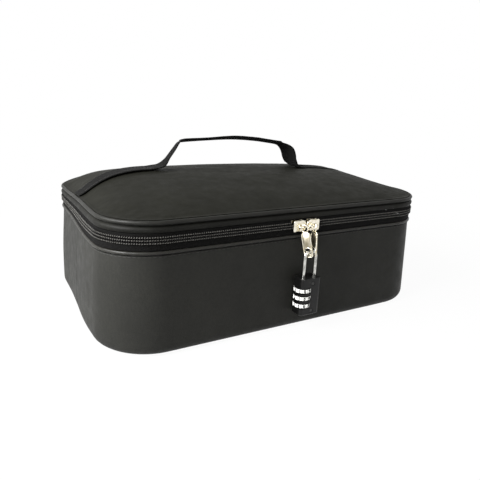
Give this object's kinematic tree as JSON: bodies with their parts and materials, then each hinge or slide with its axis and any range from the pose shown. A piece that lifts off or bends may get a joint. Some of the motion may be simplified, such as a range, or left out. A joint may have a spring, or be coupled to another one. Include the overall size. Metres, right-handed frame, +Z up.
{
  "type": "portable car safe",
  "caption": "Soft zip case for the car with a crowned lid, a strap handle and a small dial padlock joining its zip pulls.",
  "frame": {"origin": "on the floor, under the middle of the case outline", "axes": "+X along the front to the right, +Y from the front to the hinge at the back, +Z up"},
  "size_m": [0.3064, 0.2258, 0.1483],
  "materials": {
    "pu_leather": "fine grained soft sheen, near black",
    "piping": "smooth soft sheen, near black",
    "zip_tape": "matt woven tape, black",
    "webbing": "matt woven webbing, black",
    "foam": "closed foam sheet",
    "lining": "plain woven lining, dark grey",
    "board": "plain fibre board",
    "coil": "satin nylon, black",
    "nickel": "polished pale nickel with a warm tint",
    "chrome": "polished chrome",
    "enamel": "satin black enamel on zinc",
    "dial_white": "white with black numbers",
    "spring_steel": "plain steel"
  },
  "bodies": {
    "case": {"base_cover": "pu_leather", "bottom_board": "board", "base_foam": "foam", "base_lining": "lining", "base_piping": "piping", "zip_tape_lower": "zip_tape", "zip_coil_lower": "coil", "hinge_strip_base": "pu_leather", "zip_end_base_left": "zip_tape", "zip_end_base_right": "zip_tape"},
    "lid": {"lid_cover": "pu_leather", "lid_foam": "foam", "lid_lining": "lining", "lid_piping": "piping", "lid_band": "pu_leather", "zip_tape_upper": "zip_tape", "zip_coil_upper_left": "coil", "zip_coil_upper_right": "coil", "hinge_strip_lid": "pu_leather", "zip_end_lid_left": "zip_tape", "zip_end_lid_right": "zip_tape", "strap_left": "webbing", "strap_right": "webbing"},
    "handle": {"handle_web": "webbing", "handle_grip": "webbing"},
    "left_slider": {"slider_left": "nickel"},
    "right_slider": {"slider_right": "nickel"},
    "left_pull": {"pull_left": "nickel"},
    "right_pull": {"pull_right": "nickel"},
    "hoop": {"shackle": "chrome"},
    "lock": {"lock_body": "enamel", "shackle_spring": "spring_steel", "bottom_plug": "enamel", "detent_spring": "spring_steel", "rivet_upper": "enamel", "rivet_lower": "enamel"},
    "upper_dial": {"dial_1": "dial_white", "sleeve_1": "spring_steel"},
    "middle_dial": {"dial_2": "dial_white", "sleeve_2": "spring_steel"},
    "lower_dial": {"dial_3": "dial_white", "sleeve_3": "spring_steel"}
  },
  "joints": [
    {"name": "lid_open", "type": "hinge", "parent": "case", "child": "lid", "pos_m": [0, 0.1047, 0.0876], "axis": [-1, 0, 0], "range_deg": [0, 100]},
    {"name": "handle_sway", "type": "hinge", "parent": "lid", "child": "handle", "pos_m": [0, 0.009, 0.12218], "axis": [1, 0, 0], "range_deg": [-15, 45]},
    {"name": "slider_travel", "type": "slide", "parent": "case", "child": "left_slider", "axis": [1, 0, 0], "range_m": [-0.09, 0.08]},
    {"name": "slider_follow", "type": "slide", "parent": "case", "child": "right_slider", "axis": [1, 0, 0], "range_m": [-0.09, 0.08]},
    {"name": "pull_swing", "type": "hinge", "parent": "left_slider", "child": "left_pull", "pos_m": [0.0013, -0.10855, 0.0876], "axis": [-1, 0, 0], "range_deg": [0, 140]},
    {"name": "pull_follow", "type": "hinge", "parent": "right_slider", "child": "right_pull", "pos_m": [0.0111, -0.10855, 0.0876], "axis": [-1, 0, 0], "range_deg": [0, 140]},
    {"name": "padlock_swing", "type": "hinge", "parent": "left_pull", "child": "hoop", "pos_m": [0.0062, -0.11294, 0.0679], "axis": [-1, 0, 0], "range_deg": [0, 90]},
    {"name": "shackle_release", "type": "slide", "parent": "hoop", "child": "lock", "axis": [0, 0, -1], "range_m": [0, 0.006], "deforming": ["shackle_spring"]},
    {"name": "upper_dial_turn", "type": "hinge", "parent": "lock", "child": "upper_dial", "pos_m": [0.0009, -0.11294, 0.0373], "axis": [0, 0, 1], "continuous": true},
    {"name": "middle_dial_turn", "type": "hinge", "parent": "lock", "child": "middle_dial", "pos_m": [0.0009, -0.11294, 0.0309], "axis": [0, 0, 1], "continuous": true},
    {"name": "lower_dial_turn", "type": "hinge", "parent": "lock", "child": "lower_dial", "pos_m": [0.0009, -0.11294, 0.0245], "axis": [0, 0, 1], "continuous": true}
  ],
  "couplings": [
    {"joint": "slider_follow", "follows": "slider_travel", "ratio": 1},
    {"joint": "pull_follow", "follows": "pull_swing", "ratio": 1}
  ]
}
